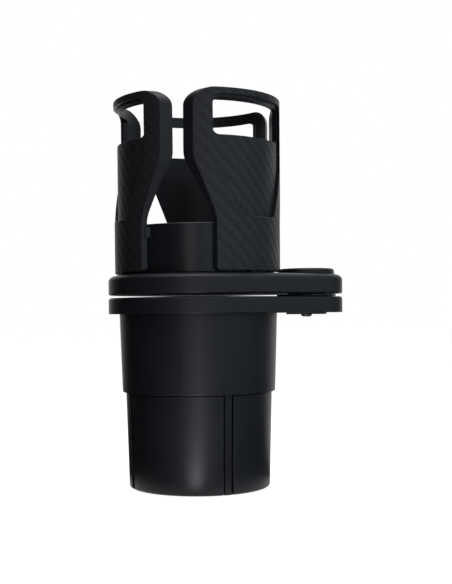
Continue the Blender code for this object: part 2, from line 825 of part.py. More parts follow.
def petal():
    """Curved claw, centred on +X: flared frame, window, recessed panel, guide lug, and the arm below."""
    outer_bottom = petal_bottom_radius
    outer_top = petal_top_radius
    low, high = petal_bottom, petal_top
    spread = 1.15 * math.asin(crown_half_width / petal_bottom_radius)
    knee_low, knee_high = low + flare_start, low + flare_end
    slope = (outer_top - outer_bottom) / petal_height

    def outer_at(z):
        return outer_bottom + slope * (z - low)

    def wall(depth_low, depth_high):
        """Part turn between two depths under the outer face, thicker above the flare."""
        return lathe(
            [
                (outer_at(low) - depth_low[0], low),
                (outer_at(high) - depth_high[0], high),
                (outer_at(high) - depth_high[1], high),
                (outer_at(knee_high) - depth_high[1], knee_high),
                (outer_at(knee_low) - depth_low[1], knee_low),
                (outer_at(low) - depth_low[1], low),
            ],
            steps=22,
            start=-spread,
            sweep=2 * spread,
        )

    solid_wall = wall((0, petal_band_wall), (0, petal_wall))
    near, far = petal_bottom_radius / 4, 2 * petal_bottom_radius
    edge = foot_round
    frame = drawn(
        rounded(
            mirrored(
                [
                    (band_half_width, low, edge),
                    (band_half_width, knee_low, flare_round),
                    (crown_half_width, knee_high, flare_round),
                    (crown_half_width, high, crown_round),
                ]
            )
        ),
        near,
        far,
    )
    window = drawn(
        rounded(
            mirrored(
                [
                    (window_half_width, low + window_bottom, window_round),
                    (window_half_width, low + window_top, window_round),
                ]
            )
        ),
        near,
        far,
    )
    recess_outline = rounded(
        mirrored(
            [
                (panel_bottom_half_width, low + panel_bottom, panel_corner),
                (window_half_width + window_border, knee_high, panel_round),
                (
                    window_half_width + window_border,
                    low + window_top + window_border,
                    window_round + window_border,
                ),
            ]
        )
    )
    pocket_depth = lathe(
        [
            (outer_at(low) - panel_recess, low),
            (outer_at(low) + petal_wall, low),
            (outer_at(high) + petal_wall, high),
            (outer_at(high) - panel_recess, high),
        ],
        steps=22,
        start=-spread,
        sweep=2 * spread,
    )
    recess = common(pocket_depth, drawn(recess_outline, near, far))
    arm = block(
        (petal_pin_place - arm_reach, petal_bottom_radius - petal_band_wall / 2),
        (-arm_width / 2, arm_width / 2),
        (arm_bottom, arm_top),
    )
    pin = cylinder(petal_pin_radius, petal_scroll_bottom, arm_bottom + arm_thickness / 2, x=petal_pin_place)
    band_bore = petal_bottom_radius - petal_band_wall
    corner = math.sqrt(band_bore**2 - band_half_width**2)
    lug = block(
        (corner - lug_reach, corner + petal_band_wall / 2),
        (band_half_width - petal_band_wall / 2, band_half_width + lug_width),
        (low + lug_place, low + lug_place + lug_height),
    )
    lug = cut(lug, cylinder(inner_cup_radius + running_gap, 0, petal_top, steps=turn_steps))
    return union(cut(common(solid_wall, frame), window, recess), arm, pin, lug)


# Assembly


def main():
    for obj in list(bpy.data.objects):
        bpy.data.objects.remove(obj)

    satin = material("satin_black_plastic", (0.012, 0.012, 0.013), 0.42)
    carbon = material("carbon_weave_film", (0.018, 0.018, 0.020), 0.36)
    inner = material("inner_black_plastic", (0.015, 0.015, 0.016), 0.5)
    steel = material("black_steel", (0.05, 0.05, 0.052), 0.35, 1.0)
    acetal = material("grey_acetal", (0.30, 0.30, 0.31), 0.45)

    base = empty("base", (cup_axis, 0, 0))
    piece("base_shell", base_shell(), satin, base)
    piece("base_cover", base_cover(), satin, base)
    base_screw = cover_screw(base_boss_place, 0)
    for number, angle in enumerate(STRIP_ANGLES, 1):
        piece(f"base_screw_{number}", base_screw, steel, base, angle)
    piece("hub_cap", hub_cap(), satin, base)
    piece("pivot_screw", pivot_screw(), steel, base)
    piece("glide_washer", glide_washer(), acetal, base)

    dial = empty("jaw_scroll_axis", (cup_axis, 0, 0))
    piece("jaw_scroll", jaw_scroll(), acetal, dial)
    jaw = grip_jaw()
    for number, angle in enumerate(JAW_ANGLES, 1):
        piece(f"grip_jaw_{number}", jaw, satin, base, angle)

    swivel = empty("swivel_axis", (cup_axis + pivot_offset, 0, 0))
    piece("upper_plate", upper_plate(), satin, swivel)
    piece("plate_cover", plate_cover(), satin, swivel)
    piece("inner_cup", inner_cup(), inner, swivel)
    plate_screw = cover_screw(plate_boss_place, plate_cover_bottom)
    for number, angle in enumerate(PLATE_SCREW_ANGLES, 1):
        piece(f"plate_screw_{number}", plate_screw, steel, swivel, angle)
    hub_screw = cover_screw(hub_screw_place, plate_skin_bottom - screw_head_height - seat_gap)
    for number, angle in enumerate(PETAL_ANGLES, 1):
        piece(f"cup_screw_{number}", hub_screw, steel, swivel, angle)
    piece("petal_scroll", petal_scroll(), acetal, swivel)
    claw = petal()
    keeper = petal_keeper()
    for number, angle in enumerate(PETAL_ANGLES, 1):
        piece(f"petal_{number}", claw, carbon, swivel, angle)
        piece(f"petal_keeper_{number}", keeper, acetal, swivel, angle)


main()
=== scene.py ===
"""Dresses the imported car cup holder: fine moulded surfaces, a twill relief on the petals, satin
plastics, and a plain pale studio with the camera at the photograph's angle.

Metres, +Z up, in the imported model's frame. Each surface is a grid of points worked out with numpy
from a rounded profile that is carried round a circle, round the plates' plan or along a petal.
"""

import json
import math

import bmesh
import bpy
import numpy as np
from bpy.props import FloatProperty, FloatVectorProperty, IntProperty, PointerProperty
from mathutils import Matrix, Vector


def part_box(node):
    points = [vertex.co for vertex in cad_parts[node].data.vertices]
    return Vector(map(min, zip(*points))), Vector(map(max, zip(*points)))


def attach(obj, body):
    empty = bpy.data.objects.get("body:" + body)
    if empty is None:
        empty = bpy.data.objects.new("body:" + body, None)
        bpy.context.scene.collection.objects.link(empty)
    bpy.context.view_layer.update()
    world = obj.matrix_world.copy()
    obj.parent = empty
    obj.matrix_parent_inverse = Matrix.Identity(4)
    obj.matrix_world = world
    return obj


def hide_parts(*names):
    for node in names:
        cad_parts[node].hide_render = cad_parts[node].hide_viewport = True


bl_info = {
    "name": "Car cup holder surfaces",
    "version": (1, 0, 0),
    "blender": (4, 5, 0),
    "location": "3D View > Sidebar > Cup Holder",
    "description": "Makes the fine surfaces, finishes and studio of a two-tier car cup holder",
    "category": "Object",
}

MM = 0.001
TAU = 2 * math.pi
UNROUNDED = 1e-5 * MM
PETAL_HEIGHT = 80.8 * MM
BURIED = 0.6 * MM
LAP = 3.0 * MM
FADE = 0.4 * MM
SEAT_RADIUS, SEAT_DEPTH = 2.3 * MM, 1.15 * MM
PALE = (0.95, 0.94, 1.0)
BLUISH = (0.78, 0.89, 1.0)
PHOTO_WIDTH, PHOTO_HEIGHT = 452, 584

# Small and hidden sizes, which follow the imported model
ARM_WIDTH, ARM_END, PIN_PLACE = 11.0 * MM, 19.4 * MM, 22.0 * MM
PIN_RADIUS, LUG_PLACE, LUG_HEIGHT = 1.8 * MM, 15.2 * MM, 4.6 * MM
LUG_WIDTH, LUG_REACH, BACK_EDGE = 1.2 * MM, 1.0 * MM, 0.3 * MM
CORE_WALL, CORE_LOW, FLOOR_LOW = 1.8 * MM, 2.3 * MM, 7.1 * MM
FLOOR_HIGH, FOOT_WIDTH, FOOT_LOW = 9.1 * MM, 10.0 * MM, 4.6 * MM
FOOT_HIGH, FOOT_END, DIAL_RADIUS = 6.8 * MM, 11.4 * MM, 12.0 * MM
RIB_RECESS = 0.8 * MM
CAP_SEAT, BOSS_RADIUS, BORE = 1.0 * MM, 9.0 * MM, 5.3 * MM
HUB_RADIUS = 10.5 * MM
BASE_WALL, FLANGE_SKIN, CORE_RADIUS = 2.0 * MM, 2.4 * MM, 30.1 * MM
JAW_WALL, JAW_EDGE, EAR_BOSS = 2.6 * MM, 0.45 * MM, 9.6 * MM
EAR_BOSS_DROP, LOWER_EDGE, GAP = 0.8 * MM, 0.7 * MM, 0.3 * MM
CUP_WALL, CUP_FLOOR, BORDER = 1.8 * MM, 2.0 * MM, 1.2 * MM
EDGE, FOOT_ROUND, PANEL_ROUND = 0.45 * MM, 1.6 * MM, 9.0 * MM
WINDOW_SLOPE = 1.1 * MM
CUP_FOOT_RADIUS, NOTCH_HEIGHT, NOTCH_WIDTH = 11.5 * MM, 1.8 * MM, 11.6 * MM

# The record's slots, with the names of the materials made here
SATIN, INNER, TWILL = "satin_black", "inner_black", "carbon_weave"
ACETAL, STEEL = "dark_acetal", "black_steel"
OWN_NAMES = {SATIN: "moulded_satin", INNER: "moulded_inner", TWILL: "moulded_twill"}
OWN_NAMES |= {ACETAL: "moulded_acetal", STEEL: "turned_steel"}

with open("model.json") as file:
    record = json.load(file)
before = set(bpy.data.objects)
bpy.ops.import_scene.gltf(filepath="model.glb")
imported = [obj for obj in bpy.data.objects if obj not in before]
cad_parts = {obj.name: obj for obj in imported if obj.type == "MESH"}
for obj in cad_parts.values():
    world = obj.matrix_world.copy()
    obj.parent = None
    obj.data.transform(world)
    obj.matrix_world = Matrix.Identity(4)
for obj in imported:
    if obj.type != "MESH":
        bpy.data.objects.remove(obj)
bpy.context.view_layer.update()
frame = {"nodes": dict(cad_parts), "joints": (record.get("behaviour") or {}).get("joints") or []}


def middle(node):
    """Centre of a node's box at rest."""
    low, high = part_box(node)
    return (low + high) / 2


def heights(node):
    """Lowest and highest z of a node."""
    return [corner.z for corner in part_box(node)]


def half_width(node):
    low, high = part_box(node)
    return (high.x - low.x) / 2


def numbered(start):
    """Nodes whose name is that start and a number, in order."""
    return [name for name in sorted(frame["nodes"]) if name.removeprefix(start).isdigit()]


def slide_angle(joint_name):
    """Direction in plan of a sliding joint's axis."""
    axis = next(joint["axis"] for joint in frame["joints"] if joint["name"] == joint_name)
    return math.atan2(axis[1], axis[0])


CUP_AXIS = middle("inner_cup").x
PIVOT = middle("glide_washer").x
PETALS = numbered("petal_")
JAWS = numbered("grip_jaw_")
PETAL_ANGLES = [slide_angle(f"{name}_slide") for name in PETALS]
JAW_ANGLES = [slide_angle(f"jaw_{name[9:]}_slide") for name in JAWS]


# Sizes and colours


def length(label, description, millimetres):
    size = millimetres * MM
    return FloatProperty(name=label, description=description, default=size, precision=5, unit="LENGTH")


def slant(label, description, degrees):
    return FloatProperty(name=label, description=description, default=math.radians(degrees), subtype="ANGLE")


def pixels(label, description, count):
    return FloatProperty(name=label, description=description, default=count, subtype="PIXEL")


def colour(label, description, level, tint):
    rgb = tuple(level * share for share in tint)
    return FloatVectorProperty(
        name=label, description=description, default=rgb, size=3, min=0.0, max=1.0, subtype="COLOR"
    )


class PlateSizes(bpy.types.PropertyGroup):
    """The plan that both plates share, the cap on them and the shallow cup."""

    radius: length("Plate radius", "Round end, about the cups' axis", 42.4)
    ear_radius: length("Ear radius", "Ear, about the swivel", 17.0)
    skin: length("Plate skin", "Wall of the upper plate", 2.2)
    shoulder_width: length("Shoulder width", "How far the rolled shoulder reaches in", 4.2)
    shoulder_height: length("Shoulder height", "How far the rolled shoulder drops", 2.7)
    cap_radius: length("Cap radius", "Cap on the ear", 13.2)
    cap_round: length("Cap round", "Cap's upper edge", 1.2)
    cap_dome: length("Cap dome", "Rise of the cap's top to its middle", 0.4)
    cup_radius: length("Cup radius", "Outside of the shallow cup inside the petals", 36.2)


class BaseSizes(bpy.types.PropertyGroup):
    """The base cup, its jaws and its cover."""

    top_radius: length("Top radius", "The cup under the flange", 37.5)
    step_radius: length("Step radius", "The cup just above the step", 36.1)
    flange_edge: length("Flange edge", "Flange's upper edge", 1.1)
    flange_height: length("Flange height", "From the flange's lower edge to its top", 7.5)
    step_height: length("Step height", "Step over the jaws", 45.3)
    shelf_height: length("Shelf height", "Ledge inside the cup", 47.3)
    jaw_top: length("Jaw top radius", "Outside of a jaw at its top", 34.5)
    jaw_bottom: length("Jaw bottom radius", "Outside of a jaw at its foot", 33.2)
    jaw_round: length("Jaw round", "A jaw's lower edge", 1.6)
    strip: slant("Strip", "Angle between two jaws", 8.1)
    rib_slack: slant("Rib slack", "Angle free beside a rib", 0.7)


class PetalSizes(bpy.types.PropertyGroup):
    """One petal, in heights over its lower edge and half widths across its drawing direction."""

    bottom_radius: length("Bottom radius", "The petal at its lower edge", 39.2)
    top_radius: length("Top radius", "The petal at its top", 39.4)
    band_wall: length("Band wall", "Wall of the lower band", 2.2)
    wall: length("Wall", "Wall over the flare", 3.6)
    band_half: length("Band half width", "Lower band", 21.8)
    crown_half: length("Crown half width", "Over the flare", 29.8)
    flare_low: length("Flare low", "Height where the flare starts", 23.7)
    flare_high: length("Flare high", "Height where the flare ends", 49.7)
    flare_round: length("Flare round", "Rounding of both bends of the flare", 24.0)
    crown_round: length("Crown round", "Upper corners", 7.6)
    window_half: length("Window half width", "Window in the petal", 22.0)
    window_low: length("Window low", "Window's lower edge", 60.1)
    window_high: length("Window high", "Window's upper edge", 76.6)
    window_round: length("Window round", "Window's corners", 2.6)
    recess: length("Recess", "How far the panel lies under the frame", 1.7)
    panel_low: length("Panel low", "Panel's lower edge", 24.6)
    panel_half: length("Panel half width", "Lower edge of the panel", 11.5)
    tow: length("Tow", "Width of one tow of the twill", 1.64)
    relief: length("Relief", "How high the twill's floats stand", 0.07)


class Finish(bpy.types.PropertyGroup):
    """Colours and gloss of the materials."""

    satin: colour("Satin plastic", "Moulded plastic", 0.0080, (0.85, 0.97, 1.18))
    inner: colour("Inner plastic", "Plastic of the inner cup", 0.0070, (0.88, 0.97, 1.14))
    weave_dark: colour("Twill across", "Tows that run across", 0.0078, (0.93, 0.99, 1.07))
    # Painted sheen: the upright tows' lighter colour paints the sheen they catch, since both tows are the
    # same black plastic
    upright_tow_sheen: colour("Twill upright", "Tows that run upright", 0.0155, (0.93, 0.99, 1.08))
    acetal: colour("Slide plastic", "Washer, dial and scrolls", 0.045, (1.0, 1.0, 1.02))
    steel: colour("Screw steel", "Blackened steel", 0.11, (1.0, 0.99, 0.97))
    gloss: FloatProperty(
        name="Gloss", description="Specular level of the black plastics", default=0.30, min=0.0, max=1.0
    )


class StageSizes(bpy.types.PropertyGroup):
    """Camera and studio."""

    scale: length("Millimetres per pixel", "Size of a pixel of the photograph at the cups' axis", 0.4755)
    distance: length("Camera distance", "From the cups' axis to the camera", 500.0)
    eye: length("Camera height", "Level line of sight", 81.2)
    axis_column: pixels("Axis column", "Photograph column of the cups' axis", 198.3)
    eye_row: pixels("Eye row", "Photograph row of the line of sight", 315.0)
    roll: slant("Roll", "Turn of the camera about its line of sight", 0.55)
    samples_round: IntProperty(
        name="Round steps", description="Columns round a full circle", default=144, min=24, max=720
    )


# Grids and profiles


def rounded(corners, steps=6, closed=False):
    """The outline through corners (a, b, radius, mark), each turned by an arc that touches both its
    sides. An arc is centre + radius (cos, sin) of an even run of angles. The mark goes with its
    points, and an open outline keeps its two ends sharp."""
    table = np.array([(*corner, 0.0)[:4] for corner in corners], float)
    spots, radii, marks = table[:, :2], table[:, 2], table[:, 3]
    sides = np.stack([np.roll(spots, 1, 0), np.roll(spots, -1, 0)]) - spots
    lengths = np.maximum(np.hypot(sides[..., 0], sides[..., 1]), 1e-12)
    back, ahead = sides / lengths[..., None]
    half = np.maximum(np.arccos(np.clip((back * ahead).sum(1), -1, 1)) / 2, 1e-6)
    reach = np.minimum(radii / np.tan(half), 0.49 * lengths.min(0))
    if not closed:
        reach[[0, -1]] = 0.0
    radius = reach * np.tan(half)
    inward = back + ahead
    inward = inward / np.maximum(np.hypot(*inward.T), 1e-12)[:, None]
    centre = spots + inward * (radius / np.sin(half))[:, None]
    touch = [spots + way * reach[:, None] - centre for way in (back, ahead)]
    first, last = [np.arctan2(spot[:, 1], spot[:, 0]) for spot in touch]
    sweep = (last - first + math.pi) % TAU - math.pi
    angles = first[:, None] + sweep[:, None] * np.linspace(0, 1, steps + 1)
    points = centre[:, None] + radius[:, None, None] * directions(angles)
    return points.reshape(-1, 2), np.repeat(marks, steps + 1)


def box_section(near, far, low, high, radii, marks=(0, 0, 0, 0)):
    """Closed section with four straight sides, whose corners go from (near, low) by (far, low)."""
    corners = zip((near, far, far, near), (low, low, high, high), np.zeros(4) + radii, marks)
    return rounded(list(corners), closed=True)


def grid_quads(rows, columns, loop_rows, loop_columns):
    """Corner numbers of the quads between neighbouring rows and columns, points numbered by row."""
    i = np.arange(rows if loop_rows else rows - 1)[:, None]
    j = np.arange(columns if loop_columns else columns - 1)[None, :]
    ahead, beside = (i + 1) % rows, (j + 1) % columns
    corners = (i * columns + j, i * columns + beside, ahead * columns + beside, ahead * columns + j)
    return np.stack(np.broadcast_arrays(*corners), -1).reshape(-1, 4)


def directions(angles):
    return np.stack([np.cos(angles), np.sin(angles)], -1)


def with_heights(flat, z):
    """Adds one height a row to a grid of points in plan."""
    return np.concatenate([flat, np.broadcast_to(z[:, None, None], flat.shape[:2] + (1,))], -1)


def turned(profile, angles, centre):
    """Grid of the profile's (radius, height) about an upright axis: centre + r (cos, sin), z."""
    return with_heights(profile[:, 0, None, None] * directions(angles)[None] + (centre, 0.0), profile[:, 1])


def cylinder(radius, low, high):
    """Profile of a closed upright cylinder."""
    return np.array([(0, low), (radius, low), (radius, high), (0, high)])


def revolved(profile, centre, steps):
    return turned(profile, TAU * np.arange(steps) / steps, centre)


def plan_path(plate, angles):
    """Points of the plates' plan at these angles about the cups' axis, with their outward normals.
    The plan is the round end, the ear's circle and the two lines that touch both."""
    ear, offset = plate.ear_radius, PIVOT - CUP_AXIS
    lean = math.acos((plate.radius - ear) / offset)
    turn = math.atan2(ear * math.sin(lean), offset + ear * math.cos(lean))
    wrapped = (angles + math.pi) % TAU - math.pi
    size = np.abs(wrapped)
    on_line, on_ear = size < lean, size < turn
    root = np.sqrt(np.maximum(ear**2 - (offset * np.sin(size)) ** 2, 0.0))
    reach = np.where(on_line, plate.radius / np.cos(np.clip(size - lean, -1.5, 1.5)), plate.radius)
    reach = np.where(on_ear, offset * np.cos(size) + root, reach)
    way = directions(angles)
    points = reach[:, None] * way
    side = np.where(wrapped > 0, math.sin(lean), -math.sin(lean))
    line = np.stack([np.full(len(size), math.cos(lean)), side], -1)
    normals = np.where(on_line[:, None], line, way)
    normals = np.where(on_ear[:, None], (points - (offset, 0.0)) / ear, normals)
    return points + (CUP_AXIS, 0.0), normals


def plan_grid(profile, marks, plate, angles, centre):
    """Grid of a profile (a, height) carried round the plan. Where its mark is 1, a is measured out to
    the plan: plan - (radius - a) normal. Where it is 0, a is a radius about the centre."""
    outline, normals = plan_path(plate, angles)
    way = outline - (centre, 0.0)
    way = way / np.hypot(*way.T)[:, None]
    along_plan = outline[None] - (plate.radius - profile[:, 0])[:, None, None] * normals[None]
    round_centre = profile[:, 0, None, None] * way[None] + (centre, 0.0)
    weight = marks[:, None, None]
    return with_heights(weight * along_plan + (1 - weight) * round_centre, profile[:, 1])


def plan_angles(round_steps, extra=()):
    """Angles about the cups' axis: even steps, closer ones along the ear, and any extra ones."""
    even = np.arange(round_steps) * TAU / round_steps
    ear = np.linspace(-0.35, 0.35, 85)
    return np.unique(np.round(np.concatenate([even, ear % TAU, np.asarray(extra, float) % TAU]), 9))


def ramped(angles, centres, half, slope):
    """1 within the half width of a centre, 0 elsewhere, with a short ramp inside its edges."""
    away = [np.abs((angles - centre + math.pi) % TAU - math.pi) for centre in centres]
    return sum(np.clip((half - size) / slope, 0.0, 1.0) for size in away)[None, :, None]


def edge_columns(centres, half, slope):
    """The angles at which such ramps bend."""
    step = np.array([half + 2e-4, half, half - slope / 2, half - slope])
    return np.concatenate([centre + sign * step for centre in centres for sign in (-1, 1)])


def about_axis(points, angle):
    """Turns points drawn about the cups' axis by the angle and sets them on it."""
    x, y = points[..., 0], points[..., 1]
    cos, sin = math.cos(angle), math.sin(angle)
    return np.stack([x * cos - y * sin + CUP_AXIS, x * sin + y * cos, points[..., 2]], -1)


class Patch:
    """One grid of points with the material number of each row and, if it has them, UV values."""

    def __init__(self, points, loop_rows=False, loop_columns=True, rows_finish=0, uv=None):
        rows, columns = points.shape[:2]
        self.points = points
        self.quads = grid_quads(rows, columns, loop_rows, loop_columns)
        per_row = (np.zeros(rows, int) + rows_finish)[: rows if loop_rows else rows - 1]
        self.finish = np.repeat(per_row, columns if loop_columns else columns - 1)
        self.uv = np.zeros((rows, columns, 2)) if uv is None else uv


def bar(section, near, far, angle, finish=0):
    """Closed bar with that (across, height) section, from one radius to another, at the angle. Its
    ends are drawn in to their middle."""
    centre = (section.min(0) + section.max(0)) / 2
    edge = 0.3 * MM
    level = np.zeros(len(section))
    near = level + near
    reach = [level + near.mean(), near, near + edge, level + far - edge, level + far, level + far]
    grow = np.array([0.0, 0.96, 1.0, 1.0, 0.96, 0.0])
    shape = centre + (section[:, None] - centre) * grow[None, :, None]
    points = np.concatenate([np.stack(reach, 1)[..., None], shape], -1)
    return Patch(about_axis(points, angle), True, False, finish)


def linked(name, data):
    """A new object in the scene."""
    obj = bpy.data.objects.new(name, data)
    bpy.context.scene.collection.objects.link(obj)
    return obj


def grid_mesh(name, points, loop_columns=False):
    mesh = bpy.data.meshes.new(name)
    quads = grid_quads(*points.shape[:2], False, loop_columns)
    mesh.from_pydata(points.reshape(-1, 3).tolist(), [], quads.tolist())
    return mesh


def close(mesh):
    """Merges the mesh's poles and seams, and turns its faces outwards."""
    shape = bmesh.new()
    shape.from_mesh(mesh)
    bmesh.ops.remove_doubles(shape, verts=shape.verts, dist=1e-6)
    bmesh.ops.dissolve_degenerate(shape, edges=shape.edges, dist=1e-7)
    bmesh.ops.recalc_face_normals(shape, faces=shape.faces)
    shape.to_mesh(mesh)
    shape.free()


def surface(name, patches, body, node, *slots, sharp=38.0):
    """Makes the piece that replaces a node, from its patches. Flat faces keep flat shading beside
    their rounded edges. Faces of finish 0 take the first slot's material."""
    points = np.concatenate([patch.points.reshape(-1, 3) for patch in patches])
    starts = np.cumsum([0] + [patch.points[..., 0].size for patch in patches[:-1]])
    quads = np.concatenate([patch.quads + start for patch, start in zip(patches, starts)])
    uv = np.concatenate([patch.uv.reshape(-1, 2) for patch in patches])
    finish = np.concatenate([patch.finish for patch in patches])
    mesh = bpy.data.meshes.new(name)
    mesh.from_pydata(points.tolist(), [], quads.tolist())
    mesh.polygons.foreach_set("material_index", finish.astype(np.int32))
    mesh.uv_layers.new(name="tows").uv.foreach_set("vector", uv[quads.ravel()].astype(np.float32).ravel())
    close(mesh)
    for slot in slots:
        mesh.materials.append(bpy.data.materials[OWN_NAMES[slot]])
    mesh.shade_smooth()
    mesh.set_sharp_from_angle(angle=math.radians(sharp))
    obj = linked(name, mesh)
    weighted = obj.modifiers.new("weighted normals", "WEIGHTED_NORMAL")
    weighted.keep_sharp = True
    weighted.weight = 50
    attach(obj, body)
    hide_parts(node)
    return obj


def refinished(node, slot):
    """Gives a CAD node that stays its material."""
    obj = frame["nodes"][node]
    obj.data.materials.clear()
    obj.data.materials.append(bpy.data.materials[OWN_NAMES[slot]])


def screw_patch(node, head_height):
    """Pan-head screw with a cross recess, head down, where the node's box is. The head's face is
    z = low + dome (r / R)^4 + depth * cross, where cross is 1 within two crossed bars."""
    spot, radius = middle(node), half_width(node)
    low, high = heights(node)
    face = np.linspace(0, 0.92, 26) * radius
    dome, depth = 0.35 * head_height, 0.62 * head_height
    arm, half, soft = 0.62 * radius, 0.13 * radius, 0.07 * radius
    way = directions(np.arange(72) * TAU / 72)
    across, up = np.moveaxis(face[:, None, None] * way, -1, 0)

    def inside(a, b):
        return np.clip((arm - np.abs(a)) / soft, 0, 1) * np.clip((half - np.abs(b)) / soft, 0, 1)

    cross = np.maximum(inside(across, up), inside(up, across))
    rise = dome * (face[:, None] / radius) ** 4 + depth * cross
    shank, rim = 0.55 * radius, low + head_height
    side = [(radius, low + dome * 1.3), (radius, rim), (shank, rim), (shank, high - shank), (0, high)]
    side = np.array(side)
    flat = np.concatenate([face, side[:, 0]])[:, None, None] * way + (spot.x, spot.y)
    height = np.concatenate([low + rise, np.repeat(side[:, 1:], 72, 1)])
    return Patch(np.concatenate([flat, height[..., None]], -1))


def screw_down(cover, nodes, name, body, low):
    """Cuts a round seat for each screw up into the cover's lower face, then makes the screws."""
    profile = cylinder(SEAT_RADIUS, low - 1.0 * MM, low + SEAT_DEPTH)
    for node in nodes:
        points = revolved(profile, 0.0, 40) + (*middle(node).xy, 0.0)
        cutter = linked("cutter", grid_mesh("cutter", points, True))
        close(cutter.data)
        modifier = cover.modifiers.new("hole", "BOOLEAN")
        modifier.operation = "DIFFERENCE"
        modifier.object = cutter
        with bpy.context.temp_override(object=cover, active_object=cover):
            bpy.ops.object.modifier_move_to_index(modifier=modifier.name, index=0)
            bpy.ops.object.modifier_apply(modifier=modifier.name)
        bpy.data.objects.remove(cutter)
    cover.data.set_sharp_from_angle(angle=math.radians(38.0))
    for number, node in enumerate(nodes, 1):
        surface(f"{name}_{number}", [screw_patch(node, 1.0 * MM)], body, node, STEEL)


# Shader maths


def maths(operation, swapped=False):
    """A method of Socket that adds one Math node."""

    def method(self, *others):
        values = (*others, self) if swapped else (self, *others)
        return self.tree.node("Math", {"operation": operation}, dict(enumerate(values)))

    return method


class Socket:
    """An output in a shader tree, with arithmetic that adds Math nodes."""

    def __init__(self, tree, output):
        self.tree = tree
        self.output = output

    __add__ = __radd__ = maths("ADD")
    __mul__ = __rmul__ = maths("MULTIPLY")
    __sub__ = maths("SUBTRACT")
    __rsub__ = maths("SUBTRACT", swapped=True)
    __mod__ = maths("FLOORED_MODULO")
    __pow__ = maths("POWER")
    __lt__ = maths("LESS_THAN")
    at_least = maths("MAXIMUM")
    at_most = maths("MINIMUM")
    floor = maths("FLOOR")
    sin = maths("SINE")

    def clamped(self):
        return self.at_least(0.0).at_most(1.0)


class Tree:
    """The nodes of a material or world, made one at a time."""

    def __init__(self, owner):
        self.owner = owner
        owner.use_nodes = True
        self.nodes = owner.node_tree.nodes

    def node(self, kind, settings=None, inputs=None, output=0):
        made = self.nodes.new("ShaderNode" + kind)
        for name, value in (settings or {}).items():
            setattr(made, name, value)
        for name, value in (inputs or {}).items():
            self.feed(made.inputs[name], value)
        return Socket(self, made.outputs[output])

    def feed(self, target, value):
        if isinstance(value, Socket):
            self.owner.node_tree.links.new(value.output, target)
        else:
            target.default_value = value

    def principled(self, **inputs):
        for name, value in inputs.items():
            self.feed(self.nodes["Principled BSDF"].inputs[name.replace("_", " ")], value)

    def place(self):
        return self.node("TexCoord", output="Object")

    def noise(self, vector, scale, detail=2.0, roughness=0.5):
        inputs = {"Vector": vector, "Scale": scale, "Detail": detail, "Roughness": roughness}
        return self.node("TexNoise", {}, inputs)

    def blend(self, share, first, second):
        """Mix of two colours by a share."""
        return self.node("Mix", {"data_type": "RGBA"}, {0: share, 6: first, 7: second}, 2)

    def bump(self, height, strength, distance):
        return self.node("Bump", {}, {"Height": height, "Strength": strength, "Distance": distance})


def opaque(rgb, share=1.0):
    return (rgb[0] * share, rgb[1] * share, rgb[2] * share, 1.0)


def moulded_plastic(slot, rgb, gloss, roughness, grain_depth):
    """Moulded plastic: a fine spark-eroded grain, and a slow change of sheen over the surface."""
    tree = Tree(bpy.data.materials.new(OWN_NAMES[slot]))
    place = tree.place()
    grain = tree.noise(place, 2300.0, 3.0, 0.6)
    slow = tree.noise(place, 55.0)
    tree.principled(
        Base_Color=tree.blend(slow, opaque(rgb, 0.82), opaque(rgb, 1.18)),
        Roughness=roughness - 0.05 + 0.07 * slow + 0.05 * grain,
        Normal=tree.bump(grain, 0.55, grain_depth),
        Specular_IOR_Level=gloss,
    )


def twill_relief(across, along):
    """Height of a float: round across the tow, and arched along its two cells."""
    return across**1.4 * (0.5 + 0.5 * along)


def twill_height(u, v):
    """Height of a two by two twill at tow coordinates u and v, by whole arrays. An upright tow lies on
    top where floor(u) + floor(v), counted modulo 4, is 0 or 1, so its diagonals fall to the right."""
    phase = (np.floor(u) + np.floor(v)) % 4
    upright = phase < 2
    part_u, part_v = u - np.floor(u), v - np.floor(v)
    across = np.sin(np.pi * np.where(upright, part_u, part_v))
    along = np.sin(np.pi * np.where(upright, phase + part_v, phase - 2 + part_u) / 2)
    return twill_relief(np.maximum(across, 0.0), along)


def twill_plastic(slot, dark, light, gloss):
    """Twill pattern moulded in plastic: tows with fine strands, on the surface's own tow coordinates.
    Upright tows are painted lighter than level ones, a painted sheen, and the low parts of the relief are
    painted darker, a painted shade. The strands' tone differs at random, and upright tows are smoother."""
    tree = Tree(bpy.data.materials.new(OWN_NAMES[slot]))
    uv = tree.node("UVMap", {"uv_map": "tows"})
    u, v = [tree.node("SeparateXYZ", {}, {0: uv}, axis) for axis in (0, 1)]
    phase = (u.floor() + v.floor()) % 4.0
    upright = phase < 2.0
    part_u, part_v = u - u.floor(), v - v.floor()
    side = part_v + (part_u - part_v) * upright
    run = part_u + (part_v - part_u) * upright + phase - 2.0 * (1 - upright)
    height = twill_relief((math.pi * side).sin().clamped(), (math.pi / 2 * run).sin().clamped())
    strand_place = {0: 16.0 * side + 7.0 * u.floor(), 1: 0.9 * run + 3.0 * v.floor()}
    strands = tree.noise(tree.node("CombineXYZ", {}, strand_place), 1.0)
    slow = tree.noise(tree.place(), 70.0)
    # Painted sheen and shade: upright tows lighter, higher floats lighter and hollows darker; only the
    # strands' share is random tone
    painted_sheen_and_strand_tone = (0.25 + 0.55 * upright + 0.35 * (height - 0.5) + 0.35 * (strands - 0.5)).clamped()
    tree.principled(
        Base_Color=tree.blend(painted_sheen_and_strand_tone, opaque(dark), opaque(light)),
        Roughness=0.47 - 0.10 * upright + 0.10 * strands + 0.05 * slow,
        Normal=tree.bump(height + 0.16 * strands, 0.6, 0.00006),
        Specular_IOR_Level=gloss,
    )


